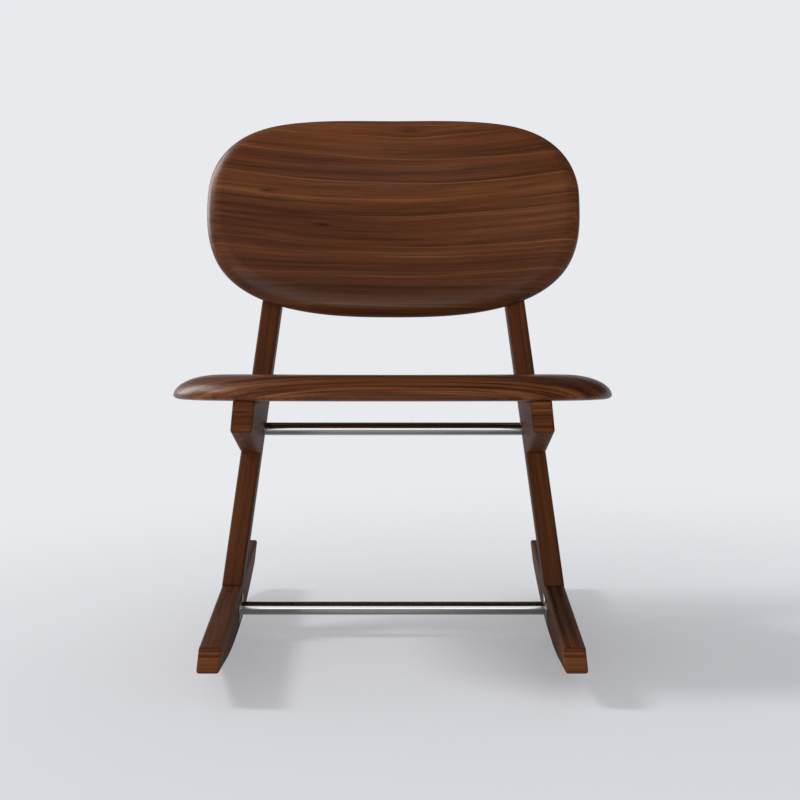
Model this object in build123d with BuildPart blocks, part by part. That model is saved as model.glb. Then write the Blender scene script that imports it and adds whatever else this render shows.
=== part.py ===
"""Rocking chair in walnut with two stainless tube stretchers, millimetres.

+Z is up, the sitter faces -Y, and +X is to the right of someone who looks at the chair's front.
Each side is a flat frame of a rocker, a leaning post and a seat rail, splayed outwards at the floor.
Every member of a side frame is a side profile drawn in the YZ plane, carried across in X and cut
to the two splayed planes of the frame, so its top, bottom and end faces stay level across X.
The right-hand members are built first and the left-hand ones are their mirror images.
"""

import os
from math import atan, cos, pi, radians, sin, tan

from build123d import *

os.makedirs("parts", exist_ok=True)

# ---------------------------------------------------------------- overall
MID_Y = -16.9  # middle of the rockers, set so that the chair's box is centred on Y = 0
TIMBER = 30.0  # thickness of every side-frame member
SPLAY = radians(7.0)  # outward lean of the side frames towards the floor
FLOOR_HALF_GAP = 237.0  # inner face of a side frame at floor level
EDGE_R = 3.5  # softened long edges of the frame members
THROUGH = 400.0  # longer than any member that a profile is carried through

# ---------------------------------------------------------------- rockers
ROCKER_FRONT = 324.0  # from the middle of the rockers to the toe
ROCKER_BACK = 317.0  # and to the heel
ROCKER_TOP = 82.0
REST_BACK = 79.6  # floor contact at rest, behind the middle and below the centre of mass
TOE_RISE = 45.5
TOE_SLOPE = atan(0.165)  # of the straight ramp up to the toe
HEEL_RISE = 45.0
TOE_R = 7.0
END_R = 2.5

# ---------------------------------------------------------------- posts
POST_BACK = 5.5  # front face of a post at the rocker's top, behind the middle
POST_LEAN = atan(0.517)
POST_DEPTH = 64.0  # across the lean
POST_LENGTH = 640.0  # along the lean, from the rocker's top
POST_TOP_R = 12.0

# ---------------------------------------------------------------- shaped plates
OVAL_POINTS = 28
DISH_GRID = 16
DISH_SPREAD = 1.35  # how far the dish's surface reaches past the dish, as a share
CREST_CUT = 0.2  # taken off the crest so that the dish meets the roll

# ---------------------------------------------------------------- seat
SEAT_TILT = radians(7.5)
SEAT_HALF_WIDTH = 316.4
SEAT_HALF_DEPTH = 198.0
SEAT_THICK = 35.8
SEAT_HEIGHT = 348.8  # underside where its plane meets the posts' front faces
SEAT_POST_GAP = 1.2
SEAT_EDGE = 5.7  # height of the widest line above the underside
SEAT_ROLL = (66.0, 50.0, 50.0)  # width of the rolled upper edge at the ends, back and front
SEAT_UNDER_ROLL = 22.0
SEAT_DISH = 8.0
SEAT_DISH_HALVES = (250.0, 225.0, 150.0)  # the dish runs out over the back edge
SEAT_POWERS = (2.97, 2.7, 2.97, 2.7)

# ---------------------------------------------------------------- seat rails
RAIL_SETBACK = 47.0  # lower front corner behind the seat's front edge
RAIL_FRONT_HEIGHT = 44.0  # from that corner up to the seat
RAIL_NOSE = 11.0  # how far the front face leans forward at its top
RAIL_CHIN_R = 4.5
RAIL_SLOPE = atan(0.280)  # of the underside, falling towards the post

# ---------------------------------------------------------------- backrest
BACK_HALF_WIDTH = 298.1
BACK_EQUATOR = 638.2  # along the lean from the rocker's top to the widest line
BACK_ABOVE = 132.3
BACK_BELOW = 207.7
BACK_THICK = 26.0
BACK_EDGE = 6.0
BACK_ROLL = (27.0, 22.0, 32.0)  # width of the rolled front edge at the sides, top and bottom
BACK_UNDER_ROLL = 5.0
BACK_DISH = 8.0
BACK_POWERS = (4.62, 1.96, 2.61, 3.2)

# ---------------------------------------------------------------- stretchers
TUBE_R = 10.0
TUBE_WALL = 1.5
LOWER_TUBE_BACK = 30.0  # tube centres behind the middle of the rockers
LOWER_TUBE_Z = 42.0
UPPER_TUBE_BACK = 152.5
UPPER_TUBE_Z = 297.0
FLANGE_R = 22.0
FLANGE_T = 2.0
COLLAR_R = 10.4
COLLAR_T = 1.6
SPIGOT_LENGTH = 26.0
SPIGOT_GAP = 0.1

# ---------------------------------------------------------------- fasteners
M8_R = 4.0
M8_HEAD_R = 6.5
M8_HEAD_H = 5.0
M8_SOCKET_AF = 5.0
M8_WASHER_R = 8.0
M8_WASHER_T = 1.6
M8_THREAD_IN = 18.0  # screwed into the tube's end fitting
BOLT_CLEARANCE = 0.2
THREAD_GAP = 0.05
COUNTERBORE_R = 9.0
COUNTERBORE_DEPTH = 16.0
PLUG_GAP = 0.3  # between a bolt head and its cover plug
M6_R = 3.0
M6_HEAD_R = 5.0
M6_HEAD_H = 4.0
M6_SOCKET_AF = 4.0
SOCKET_SHARE = 0.6  # depth of a hexagon socket as a share of its head
BACK_BOLT_BORE_R = 6.5
BACK_BOLT_BORE_DEPTH = 13.0
INSERT_R = 5.0
INSERT_LENGTH = 12.0
INSERT_THREAD_IN = 10.0
BACK_BOLT_HEIGHTS = (500.0, 600.0)  # along the lean from the rocker's top
SCREW_R = 2.5
SCREW_HEAD_R = 4.8
SCREW_HEAD_H = 3.5
SCREW_POINT = 6.0
SCREW_LENGTH = 50.0
SCREW_GRIP = 30.0  # timber between the screw's head and the seat
SCREW_BORE_R = 5.5
SCREW_FRONT_SETBACK = 90.0  # front screw behind the seat's front edge
SCREW_POST_SETBACK = 90.3  # back screw ahead of the post, at the seat's underside

# ---------------------------------------------------------------- loose tenons
JOINT_GAP = 0.1  # clearance around loose tenons
FOOT_TENON_T = 12.0
FOOT_TENON_WIDTH = 40.0
FOOT_TENON_DOWN = 25.0
FOOT_TENON_UP = 35.0
FOOT_TENON_SETBACK = 48.5  # its middle behind the post's front face at the foot
RAIL_TENON_T = 10.0
RAIL_TENON_WIDTH = 28.0
RAIL_TENON_IN_POST = 20.0
RAIL_TENON_IN_RAIL = 30.0
RAIL_TENON_DROPS = (72.3, 32.3)  # below the seat, along the lean

# ---------------------------------------------------------------- derived lines and planes
toe_y = MID_Y - ROCKER_FRONT
heel_y = MID_Y + ROCKER_BACK
rest_y = MID_Y + REST_BACK
post_foot_y = MID_Y + POST_BACK
lower_tube_y = MID_Y + LOWER_TUBE_BACK
upper_tube_y = MID_Y + UPPER_TUBE_BACK
lean_up = Vector(0, sin(POST_LEAN), cos(POST_LEAN))
lean_out = Vector(0, -cos(POST_LEAN), sin(POST_LEAN))
post_foot = Vector(0, post_foot_y, ROCKER_TOP)
back_plane = Plane(origin=post_foot + lean_up * BACK_EQUATOR, x_dir=(1, 0, 0), z_dir=lean_out)
seat_back = Vector(0, cos(SEAT_TILT), -sin(SEAT_TILT))
seat_up = Vector(0, sin(SEAT_TILT), cos(SEAT_TILT))
frame_normal = Vector(cos(SPLAY), 0, sin(SPLAY))
upright = (Align.CENTER, Align.CENTER, Align.MIN)
hanging = (Align.CENTER, Align.CENTER, Align.MAX)


def inner_x(height):
    """X of a side frame's inner face at a height."""
    return FLOOR_HALF_GAP - height * tan(SPLAY)


def cheek(depth):
    """Plane parallel to the right frame's inner face, depth outwards from it."""
    return Plane(origin=(FLOOR_HALF_GAP + depth / cos(SPLAY), 0, 0), x_dir=(0, 1, 0), z_dir=frame_normal)


def left_cheek(depth):
    """Mirror image of cheek on the left frame."""
    origin = (-FLOOR_HALF_GAP - depth / cos(SPLAY), 0, 0)
    return Plane(origin=origin, x_dir=(0, -1, 0), z_dir=(-cos(SPLAY), 0, sin(SPLAY)))


def post_face(height):
    """Y of the posts' front faces at a height."""
    return post_foot_y + tan(POST_LEAN) * (height - ROCKER_TOP)


def trim(start, end):
    """Keep what lies between two depths of the right frame."""
    split(bisect_by=cheek(start), keep=Keep.TOP)
    split(bisect_by=cheek(end), keep=Keep.BOTTOM)


def runs_along_frame(edge):
    """Whether an edge lies along its frame member and not across it."""
    return abs(edge.tangent_at(0.5).X) < 0.3


def lean_point(along, out):
    """(Y, Z) of a point along the post's front face from the rocker's top, and out from that face."""
    point = post_foot + lean_up * along + lean_out * out
    return (point.Y, point.Z)


def rod(y, z, radius, start, end, mode=Mode.ADD):
    """Round bar or bore along X between two X positions."""
    with BuildSketch(Plane.YZ.offset(start)) as disc:
        with Locations((y, z)):
            Circle(radius)
    extrude(disc.sketch, amount=end - start, mode=mode)


def outline_yz(*points):
    """Side profile through straight-line corners given as (Y, Z)."""
    with BuildSketch(Plane.YZ) as profile:
        with BuildLine():
            Polyline(*points, close=True)
        make_face()
    return profile.sketch


def slab(profile, thickness):
    """Side profile made into a slab lying in the middle of the right frame's thickness."""
    middle = TIMBER / 2
    with BuildPart(mode=Mode.PRIVATE) as piece:
        extrude(profile, amount=THROUGH)
        trim(middle - thickness / 2, middle + thickness / 2)
    return piece.part


def toe_ramp_start():
    """(Y, Z) where the rocker's front arc runs into the straight ramp up to the toe."""
    lift = (rest_y - toe_y) * tan(TOE_SLOPE) - TOE_RISE
    radius = lift / (1 / cos(TOE_SLOPE) - 1)
    return (rest_y - radius * sin(TOE_SLOPE), radius * (1 - cos(TOE_SLOPE)))


def stretcher_bore(y, z):
    """Bolt hole through a frame member, counterbored from its outer face."""
    face = inner_x(z)
    floor = face + TIMBER / cos(SPLAY) - COUNTERBORE_DEPTH
    rod(y, z, M8_R + BOLT_CLEARANCE, face - TIMBER, floor + M8_WASHER_T, Mode.SUBTRACT)
    rod(y, z, COUNTERBORE_R, floor, floor + 2 * TIMBER, Mode.SUBTRACT)


def rail_tenon_outline(along, margin):
    """Side profile of one rail tenon, grown by a margin for its mortise."""
    low = along - RAIL_TENON_WIDTH / 2 - margin
    high = along + RAIL_TENON_WIDTH / 2 + margin
    deep = -RAIL_TENON_IN_POST - margin
    near = RAIL_TENON_IN_RAIL + margin
    corners = ((low, deep), (high, deep), (high, near), (low, near))
    return outline_yz(*[lean_point(*corner) for corner in corners])


def foot_tenon_outline(margin):
    """Side profile of the post's foot tenon, grown by a margin for its mortise."""
    middle = post_foot_y + FOOT_TENON_SETBACK
    front = middle - FOOT_TENON_WIDTH / 2 - margin
    back = middle + FOOT_TENON_WIDTH / 2 + margin
    low = ROCKER_TOP - FOOT_TENON_DOWN - margin
    high = ROCKER_TOP + FOOT_TENON_UP + margin
    return outline_yz((front, low), (back, low), (back, high), (front, high))


def oval(level, halves, powers):
    """Flat oval whose upper and lower halves each have their own height and fullness."""
    half_x, half_up, half_down = halves
    points = []
    for step in range(OVAL_POINTS):
        angle = 2 * pi * step / OVAL_POINTS
        upper = angle < pi
        power_x, power_y = powers[:2] if upper else powers[2:]
        half_y = half_up if upper else -half_down
        x = half_x * abs(cos(angle)) ** (2 / power_x)
        y = half_y * abs(sin(angle)) ** (2 / power_y)
        points.append((x if cos(angle) > 0 else -x, y))
    with BuildSketch(Plane.XY.offset(level)) as face:
        with BuildLine():
            Spline(*points, periodic=True)
        make_face()
    return face.sketch


def dish_floor(halves, powers, crest, depth):
    """Smooth surface, flat outside the oval and sinking to a depth in its middle."""
    half_x, half_up, half_down = halves
    columns = []
    for column in range(DISH_GRID + 1):
        x = DISH_SPREAD * half_x * (2 * column / DISH_GRID - 1)
        heights = []
        for row in range(DISH_GRID + 1):
            y = DISH_SPREAD * half_up * (2 * row / DISH_GRID - 1)
            power_x, power_y = powers[:2] if y > 0 else powers[2:]
            half_y = half_up if y > 0 else half_down
            reach = abs(x / half_x) ** power_x + abs(y / half_y) ** power_y
            share = min(reach ** (2 / (power_x + power_y)), 1)
            heights.append(Vector(x, y, crest - depth * (1 + cos(pi * share)) / 2))
        columns.append(heights)
    return Face.make_surface_from_array_of_points(columns, tol=0.05, min_deg=3, max_deg=5)


def ring(halves, inset, height, powers):
    """Section of a plate's edge, drawn in from its widest line."""
    return oval(height, [half - step for half, step in zip(halves, inset)], powers)


def pebble(halves, powers, roll, under_roll, edge, thick, dish, dish_halves):
    """Plate with a small lower rounding, a wide rolled upper edge and a dished face, on Plane.XY."""
    lower = []
    for angle in (90, 60, 30, 0):
        inset = under_roll * (1 - cos(radians(angle)))
        lower.append(ring(halves, (inset, inset, inset), edge * (1 - sin(radians(angle))), powers))
    upper = []
    for angle in (0, 20, 40, 60, 75, 90):
        inset = [step * (1 - cos(radians(angle))) for step in roll]
        upper.append(ring(halves, inset, edge + (thick - edge) * sin(radians(angle)), powers))
    with BuildPart(mode=Mode.PRIVATE) as plate:
        loft(lower)
        loft(upper)
        hollow = dish_floor(dish_halves, powers, thick - CREST_CUT, dish)
        extrude(hollow, amount=thick, dir=(0, 0, 1), mode=Mode.SUBTRACT)
    return plate.part


def seat_reach(x):
    """How far the seat's outline lies behind its middle at an X."""
    power_x, power_y = SEAT_POWERS[:2]
    return SEAT_HALF_DEPTH * (1 - (x / SEAT_HALF_WIDTH) ** power_x) ** (1 / power_y)


# the seat's outline stops short of the posts by the named gap, at their inner faces
seat_mark = Vector(0, post_face(SEAT_HEIGHT), SEAT_HEIGHT)
seat_origin = seat_mark - seat_back * (SEAT_POST_GAP + seat_reach(inner_x(SEAT_HEIGHT)))
seat_plane = Plane(origin=seat_origin, x_dir=(1, 0, 0), z_dir=seat_up)
seat_front_y = (seat_origin - seat_back * SEAT_HALF_DEPTH).Y
screw_ys = (seat_front_y + SCREW_FRONT_SETBACK, seat_mark.Y - SCREW_POST_SETBACK)
seat_along = (SEAT_HEIGHT - ROCKER_TOP) / cos(POST_LEAN)
rail_tenon_heights = [seat_along - drop for drop in RAIL_TENON_DROPS]


def under_seat(y):
    """(Y, Z) of the seat's underside at a Y."""
    return (y, seat_origin.Z - (y - seat_origin.Y) * tan(SEAT_TILT))


def screw_plane(y):
    """Plane on the seat's underside at a rail screw, its Z along the screw and up into the seat."""
    height = under_seat(y)[1]
    middle = inner_x(height) + TIMBER / cos(SPLAY) / 2
    along = seat_up - frame_normal * seat_up.dot(frame_normal)
    return Plane(origin=(middle, y, height), x_dir=(0, 1, 0), z_dir=along.normalized())


def back_bolt_plane(along):
    """Plane on the post's front face at a backrest bolt, its Z pointing out of that face."""
    y, z = lean_point(along, 0)
    middle = inner_x(z) + TIMBER / cos(SPLAY) / 2
    return Plane(origin=(middle, y, z), x_dir=(1, 0, 0), z_dir=lean_out)


def export(builder, label):
    """Name a finished sub-part and write its STEP file."""
    builder.part.label = label
    export_step(builder.part, f"parts/{label}.step")


# ---------------------------------------------------------------- rocker
foot_mortise = slab(foot_tenon_outline(JOINT_GAP), FOOT_TENON_T + 2 * JOINT_GAP)
ramp = toe_ramp_start()
with BuildPart() as rocker_right:
    with BuildSketch(Plane.YZ):
        with BuildLine():
            TangentArc((rest_y, 0), (heel_y, HEEL_RISE), tangent=(1, 0))
            Line((heel_y, HEEL_RISE), (heel_y, ROCKER_TOP))
            Line((heel_y, ROCKER_TOP), (toe_y, ROCKER_TOP))
            Line((toe_y, ROCKER_TOP), (toe_y, TOE_RISE))
            Line((toe_y, TOE_RISE), ramp)
            TangentArc((rest_y, 0), ramp, tangent=(-1, 0))
        make_face()
        low_tips = vertices().filter_by(lambda corner: TOE_RISE - TOE_R < corner.Y < ROCKER_TOP - 1)
        high_tips = vertices().filter_by(lambda corner: corner.Y > ROCKER_TOP - 1)
        fillet(low_tips, TOE_R)
        fillet(high_tips, END_R)
    extrude(amount=THROUGH)
    trim(0, TIMBER)
    fillet(edges().filter_by(runs_along_frame), EDGE_R)
    stretcher_bore(lower_tube_y, LOWER_TUBE_Z)
    add(foot_mortise, mode=Mode.SUBTRACT)
export(rocker_right, "rocker_right")

# ---------------------------------------------------------------- post
rail_mortises = [
    slab(rail_tenon_outline(along, JOINT_GAP), RAIL_TENON_T + 2 * JOINT_GAP) for along in rail_tenon_heights
]
with BuildPart() as post_right:
    foot_depth = POST_DEPTH / cos(POST_LEAN)
    with BuildSketch(Plane.YZ):
        with BuildLine():
            Polyline(
                (post_foot_y, ROCKER_TOP),
                (post_foot_y + foot_depth, ROCKER_TOP),
                lean_point(POST_LENGTH, -POST_DEPTH),
                lean_point(POST_LENGTH, 0),
                close=True,
            )
        make_face()
        fillet(vertices().filter_by(lambda corner: corner.Y > ROCKER_TOP + 1), POST_TOP_R)
    extrude(amount=THROUGH)
    trim(0, TIMBER)
    above_foot = edges().filter_by(lambda edge: edge.center().Z > ROCKER_TOP + 1)
    fillet(above_foot.filter_by(runs_along_frame), EDGE_R)
    stretcher_bore(upper_tube_y, UPPER_TUBE_Z)
    add(foot_mortise, mode=Mode.SUBTRACT)
    add(rail_mortises, mode=Mode.SUBTRACT)
    for along in BACK_BOLT_HEIGHTS:
        axis = back_bolt_plane(along)
        with Locations(axis):
            Cylinder(M6_R + BOLT_CLEARANCE, 3 * POST_DEPTH, mode=Mode.SUBTRACT)
        with Locations(axis.offset(BACK_BOLT_BORE_DEPTH - POST_DEPTH)):
            Cylinder(BACK_BOLT_BORE_R, POST_DEPTH, align=hanging, mode=Mode.SUBTRACT)
export(post_right, "post_right")

# ---------------------------------------------------------------- seat rail
def meet_post(y, z, slope):
    """(Y, Z) where a line through (y, z), falling backwards at a slope, meets the posts' front faces."""
    height = (z + slope * (y - post_face(0))) / (1 + slope * tan(POST_LEAN))
    return (post_face(height), height)


with BuildPart() as rail_right:
    chin_y = seat_front_y + RAIL_SETBACK
    nose = under_seat(chin_y - RAIL_NOSE)
    chin = (chin_y, under_seat(chin_y)[1] - RAIL_FRONT_HEIGHT)
    heel = meet_post(*chin, tan(RAIL_SLOPE))
    crown = meet_post(*under_seat(chin_y), tan(SEAT_TILT))
    with BuildSketch(Plane.YZ):
        with BuildLine():
            Polyline(nose, chin, heel, crown, close=True)
        make_face()
        fillet(vertices().sort_by(Axis.X)[1], RAIL_CHIN_R)
    extrude(amount=THROUGH)
    trim(0, TIMBER)
    along_frame = edges().filter_by(runs_along_frame)
    on_post = along_frame.filter_by(lambda edge: edge.center().Y > heel[0] - EDGE_R)
    on_seat = along_frame.filter_by(lambda edge: edge.center().Z > under_seat(edge.center().Y)[1] - EDGE_R)
    fillet(along_frame - on_post - on_seat, EDGE_R)
    add(rail_mortises, mode=Mode.SUBTRACT)
    for screw_y in screw_ys:
        axis = screw_plane(screw_y)
        with Locations(axis):
            Cylinder(SCREW_R + BOLT_CLEARANCE, 2 * THROUGH, mode=Mode.SUBTRACT)
        with Locations(axis.offset(-SCREW_GRIP)):
            Cylinder(SCREW_BORE_R, THROUGH, align=hanging, mode=Mode.SUBTRACT)
export(rail_right, "rail_right")

# ---------------------------------------------------------------- seat
with BuildPart() as pilot_holes:
    for screw_y in screw_ys:
        with Locations(screw_plane(screw_y)):
            Cylinder(SCREW_R + THREAD_GAP, 2 * (SCREW_LENGTH - SCREW_GRIP + THREAD_GAP))
    mirror(about=Plane.YZ)

seat_halves = (SEAT_HALF_WIDTH, SEAT_HALF_DEPTH, SEAT_HALF_DEPTH)
seat_section = (SEAT_ROLL, SEAT_UNDER_ROLL, SEAT_EDGE, SEAT_THICK)
seat_blank = pebble(seat_halves, SEAT_POWERS, *seat_section, SEAT_DISH, SEAT_DISH_HALVES)
with BuildPart() as seat:
    with Locations(seat_plane):
        add(seat_blank)
    add(pilot_holes.part, mode=Mode.SUBTRACT)
export(seat, "seat")

# ---------------------------------------------------------------- backrest
with BuildPart() as insert_holes:
    for along in BACK_BOLT_HEIGHTS:
        with Locations(back_bolt_plane(along)):
            Cylinder(INSERT_R, 2 * INSERT_LENGTH)
    mirror(about=Plane.YZ)

back_halves = (BACK_HALF_WIDTH, BACK_ABOVE, BACK_BELOW)
back_section = (BACK_ROLL, BACK_UNDER_ROLL, BACK_EDGE, BACK_THICK)
back_crest = [half - roll for half, roll in zip(back_halves, BACK_ROLL)]
back_blank = pebble(back_halves, BACK_POWERS, *back_section, BACK_DISH, back_crest)
with BuildPart() as backrest:
    with Locations(back_plane):
        add(back_blank)
    add(insert_holes.part, mode=Mode.SUBTRACT)
export(backrest, "backrest")

# ---------------------------------------------------------------- stretchers and their end fittings
def stretcher_tube(y, z, fitting):
    """Tube between the two side frames, mitred to sit on the end fittings."""
    reach = FLOOR_HALF_GAP + TIMBER
    rod(y, z, TUBE_R, -reach, reach)
    rod(y, z, TUBE_R - TUBE_WALL, -reach, reach, Mode.SUBTRACT)
    split(bisect_by=cheek(-fitting), keep=Keep.BOTTOM)
    split(bisect_by=left_cheek(-fitting), keep=Keep.BOTTOM)


def end_fitting(y, z, radius, thickness):
    """Disc against the frame with a tapped spigot that plugs the end of a tube."""
    face = inner_x(z)
    with BuildSketch(Plane((face, y, z), x_dir=(0, 1, 0), z_dir=-frame_normal)) as disc:
        Circle(radius)
    extrude(disc.sketch, amount=thickness)
    chamfer(edges().sort_by(Axis.X)[0], thickness / 3)
    rod(y, z, TUBE_R - TUBE_WALL - SPIGOT_GAP, face - thickness - SPIGOT_LENGTH, face + thickness)
    split(bisect_by=cheek(0), keep=Keep.BOTTOM)
    rod(y, z, M8_R + THREAD_GAP, face - 2 * SPIGOT_LENGTH, face + thickness, Mode.SUBTRACT)


with BuildPart() as stretcher_upper:
    stretcher_tube(upper_tube_y, UPPER_TUBE_Z, COLLAR_T)
export(stretcher_upper, "stretcher_upper")

with BuildPart() as stretcher_lower:
    stretcher_tube(lower_tube_y, LOWER_TUBE_Z, FLANGE_T)
export(stretcher_lower, "stretcher_lower")

with BuildPart() as collar_right:
    end_fitting(upper_tube_y, UPPER_TUBE_Z, COLLAR_R, COLLAR_T)
export(collar_right, "collar_right")

with BuildPart() as flange_right:
    end_fitting(lower_tube_y, LOWER_TUBE_Z, FLANGE_R, FLANGE_T)
export(flange_right, "flange_right")

# ---------------------------------------------------------------- stretcher bolts, washers and plugs
stretcher_axes = ((lower_tube_y, LOWER_TUBE_Z, FLANGE_T), (upper_tube_y, UPPER_TUBE_Z, COLLAR_T))


def counterbore_floor(z):
    """X of the flat floor of a stretcher's counterbore in the right frame."""
    return inner_x(z) + TIMBER / cos(SPLAY) - COUNTERBORE_DEPTH


with BuildPart() as stretcher_bolts_right:
    for y, z, disc in stretcher_axes:
        seat_x = counterbore_floor(z) + M8_WASHER_T
        rod(y, z, M8_R, inner_x(z) - disc - M8_THREAD_IN, seat_x)
        rod(y, z, M8_HEAD_R, seat_x, seat_x + M8_HEAD_H)
        with BuildSketch(Plane.YZ.offset(seat_x + M8_HEAD_H)):
            with Locations((y, z)):
                RegularPolygon(M8_SOCKET_AF / 2, 6, major_radius=False)
        extrude(amount=-SOCKET_SHARE * M8_HEAD_H, mode=Mode.SUBTRACT)
    far_rims = edges().filter_by(GeomType.CIRCLE).filter_by(lambda edge: edge.radius == M8_R)
    chamfer(far_rims.group_by(Axis.X)[0], M8_R / 5)
export(stretcher_bolts_right, "stretcher_bolts_right")

with BuildPart() as stretcher_washers_right:
    for y, z, disc in stretcher_axes:
        floor = counterbore_floor(z)
        rod(y, z, M8_WASHER_R, floor, floor + M8_WASHER_T)
        rod(y, z, M8_R + BOLT_CLEARANCE, floor - TIMBER, floor + TIMBER, Mode.SUBTRACT)
export(stretcher_washers_right, "stretcher_washers_right")

with BuildPart() as stretcher_plugs_right:
    for y, z, disc in stretcher_axes:
        start = counterbore_floor(z) + M8_WASHER_T + M8_HEAD_H + PLUG_GAP
        rod(y, z, COUNTERBORE_R, start, start + 2 * COUNTERBORE_DEPTH)
    split(bisect_by=cheek(TIMBER), keep=Keep.BOTTOM)
export(stretcher_plugs_right, "stretcher_plugs_right")

# ---------------------------------------------------------------- loose tenons
foot_tenon = slab(foot_tenon_outline(0), FOOT_TENON_T)
rail_tenons = [slab(rail_tenon_outline(along, 0), RAIL_TENON_T) for along in rail_tenon_heights]

with BuildPart() as foot_tenon_right:
    add(foot_tenon)
export(foot_tenon_right, "foot_tenon_right")

with BuildPart() as rail_tenons_right:
    add(rail_tenons)
export(rail_tenons_right, "rail_tenons_right")

# ---------------------------------------------------------------- screws, inserts, bolts and plugs
with BuildPart() as seat_screw:
    with BuildSketch(Plane.XZ):
        with BuildLine():
            Polyline(
                (0, -SCREW_GRIP - SCREW_HEAD_H),
                (SCREW_R, -SCREW_GRIP - SCREW_HEAD_H),
                (SCREW_HEAD_R, -SCREW_GRIP - SCREW_HEAD_H / 3),
                (SCREW_HEAD_R, -SCREW_GRIP),
                (SCREW_R, -SCREW_GRIP),
                (SCREW_R, SCREW_LENGTH - SCREW_GRIP - SCREW_POINT),
                (0, SCREW_LENGTH - SCREW_GRIP),
                close=True,
            )
        make_face()
    revolve(axis=Axis.Z)

with BuildPart() as seat_screws_right:
    for screw_y in screw_ys:
        with Locations(screw_plane(screw_y)):
            add(seat_screw.part)
export(seat_screws_right, "seat_screws_right")

shaft_end = SCREW_GRIP + SCREW_HEAD_H + PLUG_GAP
rail_underside = Plane(origin=(0, *chin), x_dir=(1, 0, 0), z_dir=(0, sin(RAIL_SLOPE), cos(RAIL_SLOPE)))
with BuildPart() as seat_screw_plugs_right:
    for screw_y in screw_ys:
        with Locations(screw_plane(screw_y).offset(-shaft_end)):
            Cylinder(SCREW_BORE_R, THROUGH, align=hanging)
    split(bisect_by=rail_underside, keep=Keep.TOP)
export(seat_screw_plugs_right, "seat_screw_plugs_right")

with BuildPart() as backrest_inserts_right:
    for along in BACK_BOLT_HEIGHTS:
        with Locations(back_bolt_plane(along)):
            Cylinder(INSERT_R, INSERT_LENGTH, align=upright)
            Cylinder(M6_R + THREAD_GAP, 3 * INSERT_LENGTH, mode=Mode.SUBTRACT)
export(backrest_inserts_right, "backrest_inserts_right")

with BuildPart() as backrest_bolts_right:
    for along in BACK_BOLT_HEIGHTS:
        shoulder = back_bolt_plane(along).offset(BACK_BOLT_BORE_DEPTH - POST_DEPTH)
        with Locations(shoulder):
            Cylinder(M6_R, POST_DEPTH - BACK_BOLT_BORE_DEPTH + INSERT_THREAD_IN, align=upright)
        with Locations(shoulder.offset(-M6_HEAD_H)):
            Cylinder(M6_HEAD_R, M6_HEAD_H, align=upright)
        with BuildSketch(shoulder.offset(-M6_HEAD_H)):
            RegularPolygon(M6_SOCKET_AF / 2, 6, major_radius=False)
        extrude(amount=SOCKET_SHARE * M6_HEAD_H, mode=Mode.SUBTRACT)
export(backrest_bolts_right, "backrest_bolts_right")

with BuildPart() as backrest_plugs_right:
    for along in BACK_BOLT_HEIGHTS:
        with Locations(back_bolt_plane(along).offset(-POST_DEPTH)):
            Cylinder(BACK_BOLT_BORE_R, BACK_BOLT_BORE_DEPTH - M6_HEAD_H - PLUG_GAP, align=upright)
export(backrest_plugs_right, "backrest_plugs_right")

# ---------------------------------------------------------------- left-hand copies
right_hand = {
    "rocker": rocker_right,
    "post": post_right,
    "rail": rail_right,
    "collar": collar_right,
    "flange": flange_right,
    "stretcher_bolts": stretcher_bolts_right,
    "stretcher_washers": stretcher_washers_right,
    "stretcher_plugs": stretcher_plugs_right,
    "foot_tenon": foot_tenon_right,
    "rail_tenons": rail_tenons_right,
    "seat_screws": seat_screws_right,
    "seat_screw_plugs": seat_screw_plugs_right,
    "backrest_inserts": backrest_inserts_right,
    "backrest_bolts": backrest_bolts_right,
    "backrest_plugs": backrest_plugs_right,
}
for name, right in right_hand.items():
    with BuildPart() as left:
        add(right.part.mirror(Plane.YZ))
    export(left, f"{name}_left")
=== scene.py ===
"""Rocking chair in oiled walnut with stainless tube stretchers: finishes, floor, light and camera.

Every node of the frame keeps its shape here and gets its finish.
Metres, +Z up. The sitter faces -Y, and the left side is at -X.
"""

import logging
import math
from dataclasses import dataclass, field
from enum import Enum
from typing import Any

import bmesh
import bpy
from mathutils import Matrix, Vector

log = logging.getLogger("rocking_chair")
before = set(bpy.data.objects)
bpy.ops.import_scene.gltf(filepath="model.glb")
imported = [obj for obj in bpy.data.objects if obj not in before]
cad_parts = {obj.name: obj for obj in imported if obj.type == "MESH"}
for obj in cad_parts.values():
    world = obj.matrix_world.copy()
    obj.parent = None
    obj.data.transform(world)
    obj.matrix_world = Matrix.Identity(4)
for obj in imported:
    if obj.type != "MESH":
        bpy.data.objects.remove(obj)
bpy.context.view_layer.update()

MM = 0.001
# how the timbers lie: the posts lean back, the rails follow the seat, the side frames are splayed
POST_LEAN = math.atan(0.517)
SEAT_TILT = math.radians(7.5)
SPLAY = math.radians(7.0)
LEAN_UP = Vector((0.0, math.sin(POST_LEAN), math.cos(POST_LEAN)))
ALONG_X = Vector((1.0, 0.0, 0.0))
# what a noise texture varies around
NOISE_MIDDLE = 0.5

Rgba = tuple[float, float, float, float]
Triple = tuple[float, float, float]
Tree = bpy.types.NodeTree
Node = bpy.types.Node
Socket = bpy.types.NodeSocket


class Side(Enum):
    """The two side frames, as named in the frame's nodes."""

    LEFT = "left"
    RIGHT = "right"


def linear(hex_code: str) -> Rgba:
    """Convert an sRGB colour to scene-linear.

    Args:
        hex_code: Six hexadecimal digits, such as "4c2f1d".

    Returns:
        Linear red, green, blue and an alpha of 1.
    """
    channels = [int(hex_code[place : place + 2], 16) / 255 for place in (0, 2, 4)]
    red, green, blue = [
        value / 12.92 if value <= 0.04045 else ((value + 0.055) / 1.055) ** 2.4
        for value in channels
    ]
    return (red, green, blue, 1.0)


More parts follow.
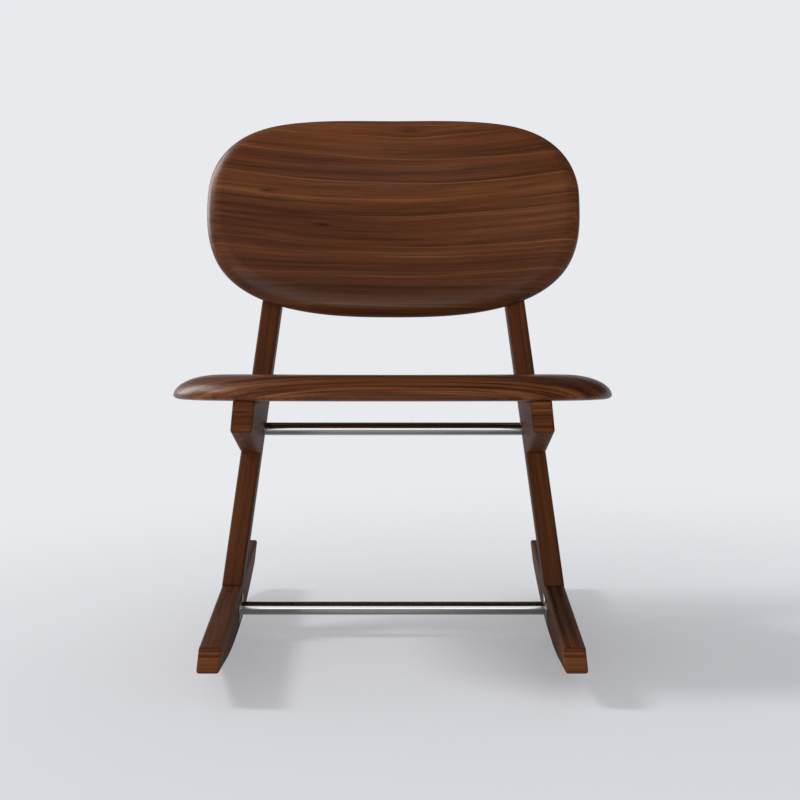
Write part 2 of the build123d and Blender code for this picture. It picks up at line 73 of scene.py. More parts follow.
def feed(tree: Tree, node: Node, inputs: dict[Any, Any]) -> None:
    """Set or link the inputs of a node.

    Args:
        tree: Node tree of the material or world.
        node: The node that is fed.
        inputs: Socket name or index to a constant, an output socket, or a node whose first
            output is meant.
    """
    for socket, value in inputs.items():
        source = value.outputs[0] if isinstance(value, Node) else value
        if isinstance(source, Socket):
            tree.links.new(source, node.inputs[socket])
        else:
            node.inputs[socket].default_value = source


def put(
    tree: Tree,
    kind: str,
    inputs: dict[Any, Any] | tuple[Any, ...] = (),
    stops: dict[float, Rgba] | None = None,
    **settings: Any,
) -> Node:
    """Add one node, with its settings and what goes into it.

    Args:
        tree: Node tree of the material or world.
        kind: Blender's type name without its "ShaderNode" prefix.
        inputs: What feed() takes, or the same values in the order of the node's sockets.
        stops: Positions and colours of a colour ramp, in rising order.
        **settings: Properties of the node itself.

    Returns:
        The new node.
    """
    node = tree.nodes.new(f"ShaderNode{kind}")
    for name, value in settings.items():
        setattr(node, name, value)
    feed(tree, node, inputs if isinstance(inputs, dict) else dict(enumerate(inputs)))
    if stops:
        node.color_ramp.interpolation = "B_SPLINE"
        elements = node.color_ramp.elements
        while len(elements) < len(stops):
            elements.new(0.5)
        for element, (position, colour) in zip(elements, stops.items()):
            element.position = position
            element.color = colour
    return node


def new_material(name: str) -> tuple[bpy.types.Material, Tree, Node]:
    """Make an empty Principled material.

    Args:
        name: The material's real name and process.

    Returns:
        The material, its node tree and its Principled shader.
    """
    material = bpy.data.materials.new(name)
    material.use_nodes = True
    tree = material.node_tree
    return material, tree, tree.nodes["Principled BSDF"]


def finish(node: str, material: bpy.types.Material) -> None:
    """Give a node of the frame its finish.

    Args:
        node: Name of the node.
        material: What it is made of.
    """
    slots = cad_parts[node].material_slots
    for slot in slots:
        slot.material = material
    log.info("%s: %s, %d slots", node, material.name, len(slots))


@dataclass(frozen=True)
class Knot:
    """A pin knot that the grain flows round, in metres from the board's middle."""

    along: float
    across: float
    length: float = 30 * MM
    width: float = 7 * MM
    darkness: float = 0.55


@dataclass(frozen=True)
class Board:
    """How a piece of timber lies in the chair and how its growth rings run through it."""

    name: str
    # directions along the grain and across the growth rings, and the board's middle
    grain: Vector
    rings: Vector
    middle: Vector = Vector((0.0, 0.0, 0.0))
    # the lines' curve per metre, and what it gains per metre across the board
    bow: float = 0.0
    bow_growth: float = 0.0
    # which place in the log the board comes from, in metres across the rings
    band_shift: float = 0.0
    # its tone against the finish's own, and how much brighter it gets per metre along and across,
    # which on the seat and the backrest is painted light
    brightness: float = 1.0
    contrast: float = 1.0
    fall: tuple[float, float] = (0.0, 0.0)
    # strength of the golden contour lines
    gilt: float = 0.0
    # width of all lines, and how quickly they change through the board, against across it
    scale: float = 1.0
    depth: float = 0.45
    # straight lines on the ends, and lines along the grain on all four long faces
    faced: bool = False
    # radius by which the shading rounds the edges
    soft_edge: float = 0.0
    # what is added to the roughness, and what the clear reflection is multiplied by
    dullness: float = 0.0
    sheen: float = 1.0
    knots: tuple[Knot, ...] = ()


@dataclass(frozen=True)
class Lines:
    """One kind of line in a board, in metres: its width across the rings and its length.

    depth is how quickly it changes through the board, against across it, and is the board's own
    where none is given.
    """

    width: float
    length: float
    detail: float = 2.0
    roughness: float = 0.5
    depth: float | None = None


@dataclass(frozen=True)
class WalnutFinish:
    """Black walnut, sanded fine and oiled.

    It gives the eye brown to honey bands along the grain with redder patches, short dark pores,
    and a satin sheen that is dimmer where the pores are open.
    """

    # heartwood, from its darkest bands to honey
    tones: tuple[tuple[float, str], ...] = (
        (0.0, "361a0b"),
        (0.27, "482510"),
        (0.5, "593017"),
        (0.75, "6a3d20"),
        (1.0, "7d4e2b"),
    )
    red: str = "662e16"
    gold: str = "946038"
    # growth rings as flat sawing shows them: broad bands, and zones and streaks inside them
    bands: Lines = Lines(24 * MM, 900 * MM, detail=3.0, roughness=0.6)
    zones: Lines = Lines(11 * MM, 500 * MM)
    streaks: Lines = Lines(4 * MM, 350 * MM, detail=3.0, roughness=0.6)
    # bundles of fibres are some 0.1 mm wide, too fine to show, so they are drawn 1.1 mm wide
    fibres: Lines = Lines(1.1 * MM, 80 * MM)
    # pores are 0.2 mm wide, too fine to show, so they are drawn nearly twice as wide
    pores: Lines = Lines(0.35 * MM, 12 * MM, detail=1.0)
    redness: Lines = Lines(8.8 * MM, 220 * MM)
    # golden lines lie 70 mm apart or more and come and go along the board
    contour: Lines = Lines(70 * MM, 4000 * MM, detail=0.0, depth=0.1)
    contour_breaks: Lines = Lines(50 * MM, 250 * MM, detail=1.0)
    # shares of bands, zones, streaks and fibres in the figure, and how far it spreads
    shares: tuple[float, float, float, float] = (0.36, 0.22, 0.26, 0.16)
    spread: float = 3.1
    # ranges of noise over which a mark goes from none to full
    red_range: tuple[float, float] = (0.5, 0.72)
    break_range: tuple[float, float] = (0.36, 0.62)
    pore_range: tuple[float, float] = (0.60, 0.72)
    contour_levels: tuple[float, float] = (0.44, 0.56)
    contour_edge: float = 0.008
    red_share: float = 0.55
    pore_darkness: float = 0.35
    # the lines sway by up to 14 mm, in waves a third of a metre long and a ninth wide
    sway: float = 14 * MM
    sway_size: tuple[float, float] = (1000 / 3 * MM, 1000 / 9 * MM)
    # how far the grain closes in on a knot, and how much smaller its dark core is
    knot_pinch: float = 0.8
    knot_core: float = 5.0
    # how narrowly a faced board keeps its depth to the faces across its rings
    facing_power: float = 4.0
    # oil on bare wood: satin, duller on fibres and in pores, with a weak clear reflection
    roughness: float = 0.46
    fibre_dullness: float = 0.12
    pore_dullness: float = 0.15
    specular: float = 0.10
    # the surface's relief: raised fibres and sunken pores
    fibre_relief: float = 0.4
    relief: float = 0.03 * MM
    relief_strength: float = 0.5
    edge_samples: int = 8

    def coordinates(self, tree: Tree, board: Board) -> tuple[Node, list[Node]]:
        """Turn the object's coordinates into along, across and through the growth rings.

        Args:
            tree: Node tree of the wood.
            board: How the piece was sawn.

        Returns:
            The vector along the grain, across and through the rings, and the knots' darkness.
        """
        place = put(tree, "TexCoord").outputs["Object"]
        centred = put(tree, "VectorMath", (place, board.middle), operation="SUBTRACT")
        through = board.grain.cross(board.rings).normalized()
        along, across, deep = [
            put(tree, "VectorMath", (centred, axis), operation="DOT_PRODUCT").outputs["Value"]
            for axis in (board.grain, board.rings, through)
        ]
        if board.faced:
            normal = put(tree, "TexCoord").outputs["Normal"]
            turned = put(tree, "VectorMath", (normal, board.rings), operation="DOT_PRODUCT")
            turned = put(tree, "Math", (turned.outputs["Value"],), operation="ABSOLUTE")
            facing = put(tree, "Math", (turned, self.facing_power), operation="POWER")
            deep = put(tree, "Math", (deep, facing), operation="MULTIPLY")
        bow = put(tree, "Math", (across, board.bow_growth, board.bow), operation="MULTIPLY_ADD")
        squared = put(tree, "Math", (along, 2.0), operation="POWER")
        curve = put(tree, "Math", (bow, squared), operation="MULTIPLY")
        straight = put(tree, "Math", (across, curve), operation="SUBTRACT")
        marks = []
        for knot in board.knots:
            pinch, mark = self.knot(tree, knot, along, across)
            straight = put(tree, "Math", (straight, pinch), operation="SUBTRACT")
            marks.append(mark)
        long_wave, cross_wave = [
            put(tree, "Math", (way, 1 / size), operation="MULTIPLY")
            for way, size in zip((along, across), self.sway_size)
        ]
        sway_at = put(tree, "CombineXYZ", (long_wave, cross_wave))
        sway = put(tree, "TexNoise", {"Vector": sway_at, "Scale": 1.0, "Detail": 1.0})
        sway = put(tree, "Math", (sway, NOISE_MIDDLE), operation="SUBTRACT")
        wavy = put(tree, "Math", (sway, self.sway, straight), operation="MULTIPLY_ADD")
        shifted = put(tree, "Math", (wavy, board.band_shift), operation="ADD")
        return put(tree, "CombineXYZ", (along, shifted, deep)), marks

    def knot(self, tree: Tree, knot: Knot, along: Socket, across: Socket) -> tuple[Node, Node]:
        """Lay the grain round one knot.

        Args:
            tree: Node tree of the wood.
            knot: Where the knot is and how large.
            along: Coordinate along the grain.
            across: Coordinate across the rings.

        Returns:
            How far the lines move across, and how dark the knot is.
        """
        off_along = put(tree, "Math", (along, knot.along), operation="SUBTRACT")
        off_across = put(tree, "Math", (across, knot.across), operation="SUBTRACT")
        lengths = put(tree, "Math", (off_along, knot.length), operation="DIVIDE")
        widths = put(tree, "Math", (off_across, knot.width), operation="DIVIDE")
        lengths = put(tree, "Math", (lengths, lengths), operation="MULTIPLY")
        widths = put(tree, "Math", (widths, widths), operation="MULTIPLY")
        reach = put(tree, "Math", (lengths, widths), operation="ADD")
        near, core = [
            put(
                tree,
                "Math",
                (math.e, put(tree, "Math", (reach, -steepness), operation="MULTIPLY")),
                operation="POWER",
            )
            for steepness in (1.0, self.knot_core)
        ]
        pinch = put(tree, "Math", (off_across, self.knot_pinch), operation="MULTIPLY")
        pinch = put(tree, "Math", (near, pinch), operation="MULTIPLY")
        return pinch, put(tree, "Math", (core, knot.darkness), operation="MULTIPLY")

    @staticmethod
    def blend(tree: Tree, amount: Node, base: Node | Socket, colour: str) -> Socket:
        """Mix a colour into the wood.

        Args:
            tree: Node tree of the wood.
            amount: Share of the new colour.
            base: The wood so far.
            colour: The new colour as sRGB hex.

        Returns:
            The mixed colour.
        """
        mix = put(tree, "Mix", {0: amount, 6: base, 7: linear(colour)}, data_type="RGBA")
        return mix.outputs[2]

    @staticmethod
    def layer(tree: Tree, board: Board, where: Node, lines: Lines) -> Node:
        """Draw noise out along the grain.

        Args:
            tree: Node tree of the wood.
            board: How the piece was sawn.
            where: The vector from coordinates().
            lines: How wide, long and ragged its lines are.

        Returns:
            The noise, whose first output is its factor.
        """
        fine = 1 / lines.width / board.scale
        depth = board.depth if lines.depth is None else lines.depth
        scale = (1 / lines.length, fine, fine * depth)
        stretched = put(tree, "VectorMath", (where, scale), operation="MULTIPLY")
        ragged = {"Detail": lines.detail, "Roughness": lines.roughness}
        return put(tree, "TexNoise", {"Vector": stretched, "Scale": 1.0} | ragged)

    def figure(self, tree: Tree, board: Board, where: Node) -> tuple[Socket, Node]:
        """Colour the growth rings and the redder patches.

        Args:
            tree: Node tree of the wood.
            board: How the piece was sawn.
            where: The vector from coordinates().

        Returns:
            The wood's colour, and the noise of its fibres.
        """
        layers = [
            self.layer(tree, board, where, lines)
            for lines in (self.bands, self.zones, self.streaks, self.fibres)
        ]
        tone: Any = 0.0
        for noise, share in zip(layers, self.shares):
            tone = put(tree, "Math", (noise, share, tone), operation="MULTIPLY_ADD")
        off = put(tree, "Math", (tone, NOISE_MIDDLE), operation="SUBTRACT")
        strength = self.spread * board.contrast
        place = put(
            tree, "Math", (off, strength, NOISE_MIDDLE), operation="MULTIPLY_ADD", use_clamp=True
        )
        stops = {position: linear(code) for position, code in self.tones}
        wood = put(tree, "ValToRGB", (place,), stops)
        low, high = self.red_range
        patches = {
            "Value": self.layer(tree, board, where, self.redness),
            "From Min": low,
            "From Max": high,
            "To Max": self.red_share,
        }
        return self.blend(tree, put(tree, "MapRange", patches), wood, self.red), layers[-1]

    def gild(self, tree: Tree, board: Board, where: Node, wood: Socket) -> Socket:
        """Draw the thin golden contour lines of flat-sawn rings.

        Args:
            tree: Node tree of the wood.
            board: How the piece was sawn.
            where: The vector from coordinates().
            wood: The colour so far.

        Returns:
            The colour with the lines.
        """
        contour = self.layer(tree, board, where, self.contour)
        breaks = self.layer(tree, board, where, self.contour_breaks)
        low, high = self.break_range
        shown = put(tree, "MapRange", {"Value": breaks, "From Min": low, "From Max": high})
        for level in self.contour_levels:
            away = put(tree, "Math", (contour, level), operation="SUBTRACT")
            shape = {
                "Value": put(tree, "Math", (away,), operation="ABSOLUTE"),
                "From Min": 0.0,
                "From Max": self.contour_edge,
                "To Min": board.gilt,
                "To Max": 0.0,
            }
            line = put(tree, "MapRange", shape)
            amount = put(tree, "Math", (line, shown), operation="MULTIPLY")
            wood = self.blend(tree, amount, wood, self.gold)
        return wood

    def shade(
        self, tree: Tree, board: Board, where: Node, open_pore: Node, marks: list[Node]
    ) -> Node:
        """Darken pores and knots, and set the board's brightness and its gradient, which on the
        seat and the backrest is painted light.

        Args:
            tree: Node tree of the wood.
            board: How the piece was sawn.
            where: The vector from coordinates().
            open_pore: How open the pores are.
            marks: How dark the knots are.

        Returns:
            What the colour is multiplied by.
        """
        dim = put(tree, "Math", (open_pore, self.pore_darkness), operation="MULTIPLY")
        for mark in marks:
            dim = put(tree, "Math", (dim, mark), operation="ADD", use_clamp=True)
        left = put(tree, "Math", (1.0, dim), operation="SUBTRACT")
        bright = put(tree, "Math", (left, board.brightness), operation="MULTIPLY")
        # a brightness gradient along and across the board; on the seat and the backrest it is
        # painted light
        if any(board.fall):
            drift = put(tree, "VectorMath", (where, (*board.fall, 0.0)), operation="DOT_PRODUCT")
            drift = put(tree, "Math", (drift.outputs["Value"], 1.0), operation="ADD")
            bright = put(tree, "Math", (bright, drift), operation="MULTIPLY")
        return bright

    def material(self, board: Board) -> bpy.types.Material:
        """Make the wood of one board.

        Args:
            board: How the piece was sawn.

        Returns:
            A procedural material on object coordinates.
        """
        material, tree, shader = new_material(f"oiled_black_walnut_{board.name}")
        where, marks = self.coordinates(tree, board)
        wood, fibres = self.figure(tree, board, where)
        if board.gilt:
            wood = self.gild(tree, board, where, wood)
        pores = self.layer(tree, board, where, self.pores)
        low, high = self.pore_range
        open_pore = put(tree, "MapRange", {"Value": pores, "From Min": low, "From Max": high})
        shade = self.shade(tree, board, where, open_pore, marks)
        colour = put(tree, "VectorMath", {0: wood, "Scale": shade}, operation="SCALE")

        base = self.roughness + board.dullness - self.fibre_dullness / 2
        gloss = put(tree, "Math", (fibres, self.fibre_dullness, base), operation="MULTIPLY_ADD")
        gloss = put(
            tree, "Math", (open_pore, self.pore_dullness, gloss), operation="MULTIPLY_ADD"
        )
        raised = put(tree, "Math", (fibres, self.fibre_relief), operation="MULTIPLY")
        height = put(tree, "Math", (raised, open_pore), operation="SUBTRACT")
        surface: dict[str, Any] = {
            "Height": height,
            "Distance": self.relief,
            "Strength": self.relief_strength,
        }
        if board.soft_edge:
            radius = {"Radius": board.soft_edge}
            surface["Normal"] = put(tree, "Bevel", radius, samples=self.edge_samples)
        inputs = {
            "Base Color": colour,
            "Roughness": gloss,
            "Specular IOR Level": self.specular * board.sheen,
            "Normal": put(tree, "Bump", surface),
        }
        feed(tree, shader, inputs)
        return material


@dataclass(frozen=True)
class MetalFinish:
    """A bare metal, with fine marks left along one direction by its last process.

    mark_size is how long a mark is along X, Y and Z. Real marks are some 0.05 mm wide, too fine to
    show, so they are drawn 1.1 mm wide or more. unevenness is how much they change the roughness.
    """

    name: str
    colour: str
    roughness: float
    mark_size: Triple
    unevenness: float = 0.06
    relief_strength: float = 0.25
    relief: float = 0.01 * MM

    def material(self) -> bpy.types.Material:
        """Make the metal.

        Returns:
            A procedural material on object coordinates.
        """
        material, tree, shader = new_material(self.name)
        place = put(tree, "TexCoord").outputs["Object"]
        fine = tuple(1 / size for size in self.mark_size)
        drawn = put(tree, "VectorMath", (place, fine), operation="MULTIPLY")
        lines = put(tree, "TexNoise", {"Vector": drawn, "Scale": 1.0, "Detail": 3.0})
        least = self.roughness - self.unevenness / 2
        gloss = put(tree, "Math", (lines, self.unevenness, least), operation="MULTIPLY_ADD")
        surface = {"Height": lines, "Distance": self.relief, "Strength": self.relief_strength}
        inputs = {
            "Base Color": linear(self.colour),
            "Metallic": 1.0,
            "Roughness": gloss,
            "Normal": put(tree, "Bump", surface),
        }
        feed(tree, shader, inputs)
        return material


class Metal(Enum):
    """The metals of the chair."""

    # drawn 304 stainless tube, polished along its length: a clear, slightly drawn-out mirror
    TUBE = MetalFinish(
        "polished_stainless_tube",
        "abaaa8",
        0.14,
        (333 * MM, 1.11 * MM, 1.11 * MM),
        unevenness=0.02,
        relief_strength=0.05,
    )
    # 304 stainless faced on the lathe: a softer, darker grey than the tube
    TURNED = MetalFinish("turned_stainless", "8f8d8b", 0.34, (1.11 * MM, 5 * MM, 5 * MM))
    # steel screws and washers with bright zinc plating: pale, bluish and a little mottled
    PLATED = MetalFinish(
        "zinc_plated_steel", "b9bcc0", 0.32, (3.33 * MM, 3.33 * MM, 3.33 * MM), unevenness=0.15
    )
    # free-cutting brass, knurled and threaded: warm yellow with a satin shine
    BRASS = MetalFinish(
        "turned_brass", "c9a55a", 0.30, (3.33 * MM, 3.33 * MM, 3.33 * MM), unevenness=0.12
    )


@dataclass(frozen=True)
class BeechFinish:
    """Milled beech, unfinished: pale and matt, with short darker flecks."""

    colour: str = "c9a27a"
    fleck: str = "9a6c46"
    # flecks are 0.5 mm wide and up to 4 mm long, and are drawn about twice as wide
    fleck_size: Triple = (1.11 * MM, 4 * MM, 4 * MM)
    fleck_range: tuple[float, float] = (0.3, 0.75)
    roughness: float = 0.6

    def material(self, side: Side) -> bpy.types.Material:
        """Make the beech of one side's tenons.

        Args:
            side: Which side frame, for the material's name.

        Returns:
            A procedural material on object coordinates.
        """
        material, tree, shader = new_material(f"milled_beech_{side.value}")
        place = put(tree, "TexCoord").outputs["Object"]
        fine = tuple(1 / size for size in self.fleck_size)
        drawn = put(tree, "VectorMath", (place, fine), operation="MULTIPLY")
        flecks = put(tree, "TexNoise", {"Vector": drawn, "Scale": 1.0, "Detail": 2.0})
        low, high = self.fleck_range
        stops = {low: linear(self.colour), high: linear(self.fleck)}
        colour = put(tree, "ValToRGB", (flecks,), stops)
        feed(tree, shader, {"Base Color": colour, "Roughness": self.roughness})
        return material


@dataclass
class Plates:
    """The seat and the backrest, each shaped from boards that run from side to side."""

    wood: WalnutFinish
    seat: Board = field(
        default_factory=lambda: Board(
            "seat",
            grain=ALONG_X,
            rings=Vector((0.0, 0.70, 0.71)).normalized(),
            middle=Vector((0.0, -0.22, 0.36)),
            band_shift=0.31,
            brightness=1.12,
            # painted light: the seat is lighter towards its left end, the key light's side, and
            # darker towards its right
            fall=(-0.55, 0.0),
            dullness=-0.12,
            sheen=1.25,
            contrast=2.3,
            scale=0.6,
            depth=0.12,
        )
    )
    backrest: Board = field(
        default_factory=lambda: Board(
            "backrest",
            grain=ALONG_X,
            rings=LEAN_UP,
            middle=Vector((0.0, 0.27, 0.62)),
            bow=0.25,
            bow_growth=0.9,
            brightness=1.08,
            # painted light: the backrest is lighter towards its top and darker towards its bottom
            # edge
            fall=(0.0, 1.8),
            dullness=-0.1,
            sheen=1.7,
            gilt=0.65,
            knots=(
                Knot(-0.200, 0.034),
                Knot(-0.112, -0.025),
                Knot(0.026, 0.138, length=45 * MM, width=12 * MM, darkness=0.45),
            ),
        )
    )

    def dress(self) -> None:
        """Finish both plates."""
        finish("seat", self.wood.material(self.seat))
        finish("backrest", self.wood.material(self.backrest))


@dataclass
class SideFrame:
    """Rocker, post and seat rail of one side, with the plugs in them.

    Their edges are shaded as if eased by soft_edge, and they are duller than the plates. Rails and
    rockers show closer, stronger lines than the posts.
    """

    side: Side
    wood: WalnutFinish
    soft_edge: float = 9 * MM
    dullness: float = 0.1
    sheen: float = 0.65

    def boards(self) -> dict[str, Board]:
        """How each timber of this side was sawn.

        Returns:
            Node name to board.
        """
        hand = 1.0 if self.side is Side.RIGHT else -1.0
        name = self.side.value
        eased: dict[str, Any] = {
            "faced": True,
            "soft_edge": self.soft_edge,
            "dullness": self.dullness,
            "sheen": self.sheen,
        }
        sawn = eased | {"depth": 1.0, "contrast": 1.5, "scale": 0.45}
        # the two sides come from different places in the log, so their bands differ, and their
        # tones are set a little apart
        post = Board(
            f"post_{name}",
            grain=Vector((-hand * math.tan(SPLAY), math.tan(POST_LEAN), 1.0)).normalized(),
            rings=Vector((hand * math.cos(SPLAY), 0.0, math.sin(SPLAY))),
            band_shift=0.17 * hand,
            brightness=0.672 - 0.01 * hand,
            fall=(0.9, 0.0),
            **eased,
        )
        rail = Board(
            f"rail_{name}",
            grain=Vector((0.0, math.cos(SEAT_TILT), -math.sin(SEAT_TILT))),
            rings=Vector((0.0, math.sin(SEAT_TILT), math.cos(SEAT_TILT))),
            band_shift=0.4,
            # darker than the rockers, partly the wood's tone and partly painted shade from the seat
            # over the rails' fronts
            brightness=0.91 + 0.02 * hand,
            **sawn,
        )
        rocker = Board(
            f"rocker_{name}",
            grain=Vector((0.0, 1.0, 0.0)),
            rings=Vector((0.0, 0.0, 1.0)),
            band_shift=-0.62,
            brightness=0.98,
            **sawn,
        )
        return {
            f"post_{name}": post,
            f"backrest_plugs_{name}": post,
            f"rail_{name}": rail,
            f"seat_screw_plugs_{name}": rail,
            f"rocker_{name}": rocker,
            f"stretcher_plugs_{name}": rocker,
        }

    def dress(self) -> None:
        """Finish the timbers of this side."""
        made: dict[str, bpy.types.Material] = {}
        for node, board in self.boards().items():
            if board.name not in made:
                made[board.name] = self.wood.material(board)
            finish(node, made[board.name])


@dataclass
class Hardware:
    """Stretchers, their end fittings, and the fasteners and tenons inside the joints."""

    beech: BeechFinish = BeechFinish()
    stretchers: tuple[str, ...] = ("stretcher_upper", "stretcher_lower")
    tenons: tuple[str, ...] = ("foot_tenon", "rail_tenons")
    fittings: dict[str, Metal] = field(
        default_factory=lambda: {
            "collar": Metal.TURNED,
            "flange": Metal.TURNED,
            "stretcher_bolts": Metal.PLATED,
            "stretcher_washers": Metal.PLATED,
            "seat_screws": Metal.PLATED,
            "backrest_bolts": Metal.PLATED,
            "backrest_inserts": Metal.BRASS,
        }
    )

    def dress(self) -> None:
        """Finish every metal piece and the hidden tenons."""
        metals = {metal: metal.value.material() for metal in Metal}
        for node in self.stretchers:
            finish(node, metals[Metal.TUBE])
        for side in Side:
            for kind, metal in self.fittings.items():
                finish(f"{kind}_{side.value}", metals[metal])
            beech = self.beech.material(side)
            for kind in self.tenons:
                finish(f"{kind}_{side.value}", beech)


@dataclass(frozen=True)
class Panel:
    """A large soft lamp that looks at the chair, or shows only in its reflections."""

    name: str
    toward: Triple
    distance: float
    size: tuple[float, float]
    radiance: float
    aim: Triple = (0.0, 0.0, 0.35)
    only_reflected: bool = False

    def build(self) -> None:
        """Add the lamp to the scene."""
        data = bpy.data.lights.new(self.name, "AREA")
        data.shape = "RECTANGLE"
        data.size, data.size_y = self.size
        # a panel's power is its radiance times its area times pi
        data.energy = self.radiance * self.size[0] * self.size[1] * math.pi
        lamp = bpy.data.objects.new(self.name, data)
        direction = Vector(self.toward).normalized()
        lamp.location = Vector(self.aim) + direction * self.distance
        lamp.rotation_euler = direction.to_track_quat("Z", "Y").to_euler()
        lamp.visible_diffuse = not self.only_reflected
        lamp.visible_camera = False
        bpy.context.scene.collection.objects.link(lamp)
        log.info("lamp %s", self.name)


@dataclass(frozen=True)
class Key:
    """The key light, far away and as wide as a soft box, high on the chair's left-hand side."""

    toward: Triple = (-1.07, 0.12, 1.0)
    strength: float = 1.21
    width: float = math.radians(13.0)

    def build(self) -> None:
        """Add the key light to the scene."""
        data = bpy.data.lights.new("key", "SUN")
        data.energy = self.strength
        data.angle = self.width
        lamp = bpy.data.objects.new("key", data)
        lamp.rotation_euler = Vector(self.toward).to_track_quat("Z", "Y").to_euler()
        bpy.context.scene.collection.objects.link(lamp)
        log.info("lamp key")


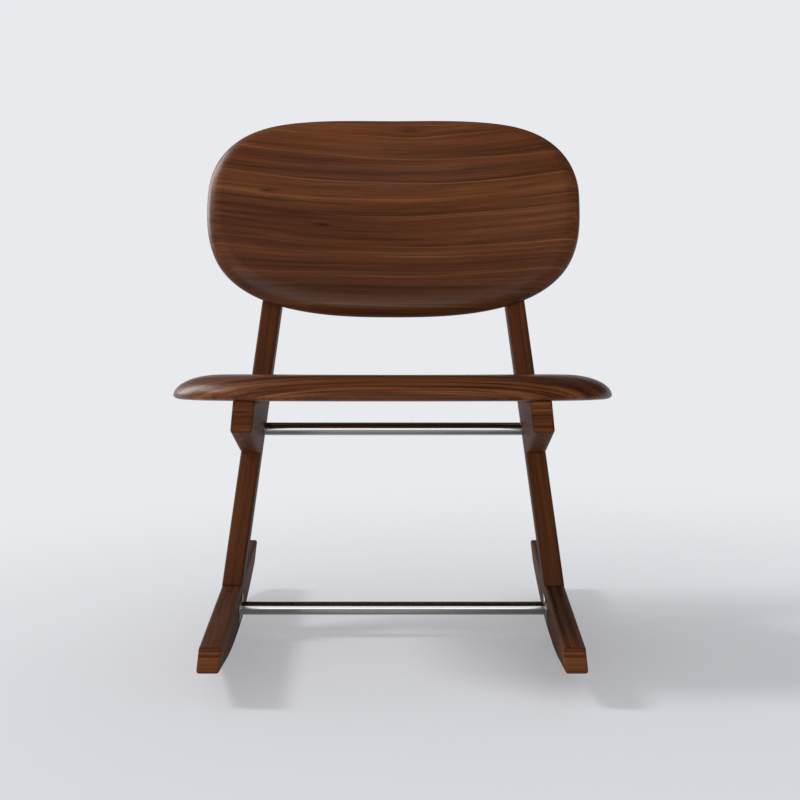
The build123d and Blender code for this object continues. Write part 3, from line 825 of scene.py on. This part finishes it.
@dataclass
class Studio:
    """Pale floor that sweeps up behind the chair, the lamps and the world."""

    half_width: float = 12.0
    front: float = -9.0
    bend_start: float = 2.6
    bend_radius: float = 3.0
    bend_steps: int = 24
    wall_top: float = 1.1
    # matt emulsion paint, rolled on smooth: no shine, so that only the shadow draws the floor
    floor_colour: str = "eeeff3"
    floor_roughness: float = 0.9
    floor_specular: float = 0.1
    # the backdrop glows evenly, takes over from the painted floor between two distances from the
    # chair, and is mixed in a little near it
    backdrop: str = "e9eaee"
    fade_middle: Triple = (0.3, -0.60, 0.0)
    fade: tuple[float, float] = (0.5, 1.9)
    glow_near: float = 0.32
    # the world lights evenly, and reflections show it as a darker room above the backdrop
    world_colour: str = "f4f6fa"
    world_level: float = 0.40
    room_level: float = 0.10
    panels: tuple[Panel, ...] = (
        Panel("front", (-0.25, -1.0, 0.13), 4.0, (5.0, 1.6), 2.75),
        Panel("front_high", (-0.1, -1.0, 0.62), 4.0, (5.0, 1.5), 1.65, only_reflected=True),
        Panel("side", (-0.8, 0.53, 0.45), 2.6, (1.0, 1.8), 10.0, only_reflected=True),
    )

    def sweep(self) -> bpy.types.Object:
        """Build the floor and its sweep as one sheet.

        Returns:
            The stage object.
        """
        sheet = bmesh.new()
        corners = [
            sheet.verts.new((side * self.half_width, self.front, 0.0)) for side in (-1, 1)
        ]
        edge = sheet.edges.new(corners)
        floor = bmesh.ops.extrude_edge_only(sheet, edges=[edge])["geom"]
        far = [item for item in floor if isinstance(item, bmesh.types.BMVert)]
        bmesh.ops.translate(sheet, verts=far, vec=(0.0, self.bend_start - self.front, 0.0))
        last = [
            item
            for item in floor
            if isinstance(item, bmesh.types.BMEdge) and set(item.verts) == set(far)
        ]
        bmesh.ops.spin(
            sheet,
            geom=far + last,
            cent=(0.0, self.bend_start, self.bend_radius),
            axis=ALONG_X,
            angle=math.acos(1 - self.wall_top / self.bend_radius),
            steps=self.bend_steps,
        )
        bmesh.ops.recalc_face_normals(sheet, faces=sheet.faces[:])
        mesh = bpy.data.meshes.new("floor_sweep")
        sheet.to_mesh(mesh)
        sheet.free()
        mesh.polygons.foreach_set("use_smooth", [True] * len(mesh.polygons))
        stage = bpy.data.objects.new("floor_sweep", mesh)
        bpy.context.scene.collection.objects.link(stage)
        mesh.materials.append(self.floor_material())
        return stage

    @staticmethod
    def seen_directly(tree: Tree) -> Node:
        """Factor that is 1 for what the camera, a reflection or a pane of glass shows.

        Args:
            tree: Node tree to add to.

        Returns:
            The factor.
        """
        path = put(tree, "LightPath").outputs
        rays = (path["Is Camera Ray"], path["Is Glossy Ray"])
        seen = put(tree, "Math", rays, operation="MAXIMUM")
        return put(tree, "Math", (seen, path["Is Transmission Ray"]), operation="MAXIMUM")

    def floor_material(self) -> bpy.types.Material:
        """Painted floor that turns into the evenly lit backdrop away from the chair.

        Returns:
            The stage's material.
        """
        material, tree, shader = new_material("matt_painted_floor")
        paint = {
            "Base Color": linear(self.floor_colour),
            "Roughness": self.floor_roughness,
            "Specular IOR Level": self.floor_specular,
        }
        feed(tree, shader, paint)
        place = put(tree, "TexCoord").outputs["Object"]
        away = put(tree, "VectorMath", (place, self.fade_middle), operation="DISTANCE")
        near, far = self.fade
        reach = {"Value": away.outputs["Value"], "From Min": near, "From Max": far}
        fade = put(tree, "MapRange", reach, interpolation_type="SMOOTHSTEP")
        camera_ray = put(tree, "LightPath").outputs["Is Camera Ray"]
        least = put(tree, "Math", (camera_ray, self.glow_near), operation="MULTIPLY")
        rest = put(tree, "Math", (1.0, least), operation="SUBTRACT")
        share = put(tree, "Math", (fade, rest, least), operation="MULTIPLY_ADD")
        amount = put(tree, "Math", (share, self.seen_directly(tree)), operation="MULTIPLY")
        glow = put(tree, "Emission", {"Color": linear(self.backdrop), "Strength": 1.0})
        mix = put(tree, "MixShader", (amount, shader, glow))
        feed(tree, tree.nodes["Material Output"], {"Surface": mix})
        return material

    def world(self) -> None:
        """Even pale surroundings that show as the backdrop, and as a darker room in reflections."""
        world = bpy.data.worlds.new("studio")
        world.use_nodes = True
        tree = world.node_tree
        even = tree.nodes["Background"]
        feed(tree, even, {"Color": linear(self.world_colour), "Strength": self.world_level})
        shown = put(tree, "Background", {"Color": linear(self.backdrop), "Strength": 1.0})
        room = {"Color": linear(self.world_colour), "Strength": self.room_level}
        glossy_ray = put(tree, "LightPath").outputs["Is Glossy Ray"]
        mix = put(tree, "MixShader", (self.seen_directly(tree), even, shown))
        mix = put(tree, "MixShader", (glossy_ray, mix, put(tree, "Background", room)))
        feed(tree, tree.nodes["World Output"], {"Surface": mix})
        bpy.context.scene.world = world

    def build(self) -> None:
        """Set up the stage, the lamps and the world."""
        self.sweep()
        self.world()
        Key().build()
        for panel in self.panels:
            panel.build()


@dataclass(frozen=True)
class View:
    """The camera, in front of the chair at the height of the backrest's top."""

    location: Triple = (0.0103, -2.7719, 0.783)
    pitch: float = math.radians(8.615)
    lens: float = 85.0
    sensor: float = 36.0

    def build(self) -> None:
        """Add the camera and make it the scene's."""
        data = bpy.data.cameras.new("view")
        data.lens = self.lens
        data.sensor_width = self.sensor
        camera = bpy.data.objects.new("view", data)
        camera.location = self.location
        camera.rotation_euler = (math.pi / 2 - self.pitch, 0.0, 0.0)
        bpy.context.scene.collection.objects.link(camera)
        bpy.context.scene.camera = camera
        bpy.context.scene.view_settings.view_transform = "Standard"


def main() -> None:
    """Dress the chair and set up the studio and the view."""
    logging.basicConfig(level=logging.INFO, format="%(name)s: %(message)s")
    walnut = WalnutFinish()
    Plates(walnut).dress()
    for side in Side:
        SideFrame(side, walnut).dress()
    Hardware().dress()
    Studio().build()
    View().build()
    log.info("finished, %d nodes", len(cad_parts))


if __name__ == "__main__":
    main()
